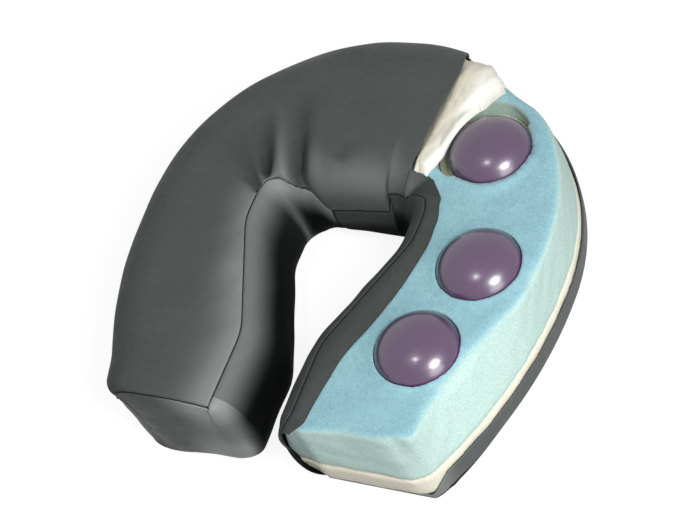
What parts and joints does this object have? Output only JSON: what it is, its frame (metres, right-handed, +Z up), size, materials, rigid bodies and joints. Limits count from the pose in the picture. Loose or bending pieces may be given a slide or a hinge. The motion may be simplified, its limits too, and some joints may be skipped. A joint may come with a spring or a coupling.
{
  "type": "face cradle cushion",
  "caption": "Horseshoe face cradle cushion with a cutaway: smooth cover, fleece wadding, memory foam on a firm base foam, and press-in fluid capsules in pockets.",
  "frame": {"origin": "under the middle of the cushion, on the surface that it lies on", "axes": "+X to the right arm, the cut-away one; +Y to the closed back; +Z up"},
  "size_m": [0.305, 0.315, 0.0782],
  "materials": {
    "cover": "smooth coated fabric, semi-matte",
    "loop_tape": "looped pile",
    "base_foam": "firm cream foam, fine cells",
    "memory_foam": "blue memory foam, fine cells",
    "wadding": "white fleece",
    "seat_foam": "soft cream foam",
    "capsule_skin": "smooth and glossy",
    "capsule_fluid": "clear violet gel"
  },
  "bodies": {
    "cushion": {"fastening_strip_left": "loop_tape", "fastening_strip_right": "loop_tape", "fastening_strip_back": "loop_tape", "cover_bottom_panel": "cover", "cover_outer_band": "cover", "cover_outer_band_remnant": "cover", "cover_inner_band_left": "cover", "cover_inner_band_back": "cover", "cover_inner_band_right": "cover", "cover_top_panel": "cover", "cover_margin_right": "cover", "base_foam": "base_foam", "memory_foam": "memory_foam", "top_wadding": "wadding", "seat_pad_right_back": "seat_foam", "seat_pad_right_middle": "seat_foam", "seat_pad_right_front": "seat_foam", "seat_pad_left_back": "seat_foam", "seat_pad_left_middle": "seat_foam", "seat_pad_left_front": "seat_foam"},
    "capsule_right_back": {"capsule_skin_right_back": "capsule_skin", "capsule_fluid_right_back": "capsule_fluid"},
    "capsule_right_middle": {"capsule_skin_right_middle": "capsule_skin", "capsule_fluid_right_middle": "capsule_fluid"},
    "capsule_right_front": {"capsule_skin_right_front": "capsule_skin", "capsule_fluid_right_front": "capsule_fluid"},
    "capsule_left_back": {"capsule_skin_left_back": "capsule_skin", "capsule_fluid_left_back": "capsule_fluid"},
    "capsule_left_middle": {"capsule_skin_left_middle": "capsule_skin", "capsule_fluid_left_middle": "capsule_fluid"},
    "capsule_left_front": {"capsule_skin_left_front": "capsule_skin", "capsule_fluid_left_front": "capsule_fluid"}
  },
  "joints": [
    {"name": "press_right_back", "type": "slide", "parent": "cushion", "child": "capsule_right_back", "axis": [0, 0, 1], "range_m": [-0.014, 0], "stiffness_N_per_m": 1500, "springref_m": 0.0004, "deforming": ["seat_pad_right_back"]},
    {"name": "press_right_middle", "type": "slide", "parent": "cushion", "child": "capsule_right_middle", "axis": [0, 0, 1], "range_m": [-0.014, 0], "stiffness_N_per_m": 1500, "springref_m": 0.0004, "deforming": ["seat_pad_right_middle"]},
    {"name": "press_right_front", "type": "slide", "parent": "cushion", "child": "capsule_right_front", "axis": [0, 0, 1], "range_m": [-0.014, 0], "stiffness_N_per_m": 1500, "springref_m": 0.0004, "deforming": ["seat_pad_right_front"]},
    {"name": "press_left_back", "type": "slide", "parent": "cushion", "child": "capsule_left_back", "axis": [0, 0, 1], "range_m": [-0.003, 0], "stiffness_N_per_m": 1500, "springref_m": 0.0004, "deforming": ["seat_pad_left_back"]},
    {"name": "press_left_middle", "type": "slide", "parent": "cushion", "child": "capsule_left_middle", "axis": [0, 0, 1], "range_m": [-0.003, 0], "stiffness_N_per_m": 1500, "springref_m": 0.0004, "deforming": ["seat_pad_left_middle"]},
    {"name": "press_left_front", "type": "slide", "parent": "cushion", "child": "capsule_left_front", "axis": [0, 0, 1], "range_m": [-0.003, 0], "stiffness_N_per_m": 1500, "springref_m": 0.0004, "deforming": ["seat_pad_left_front"]}
  ]
}
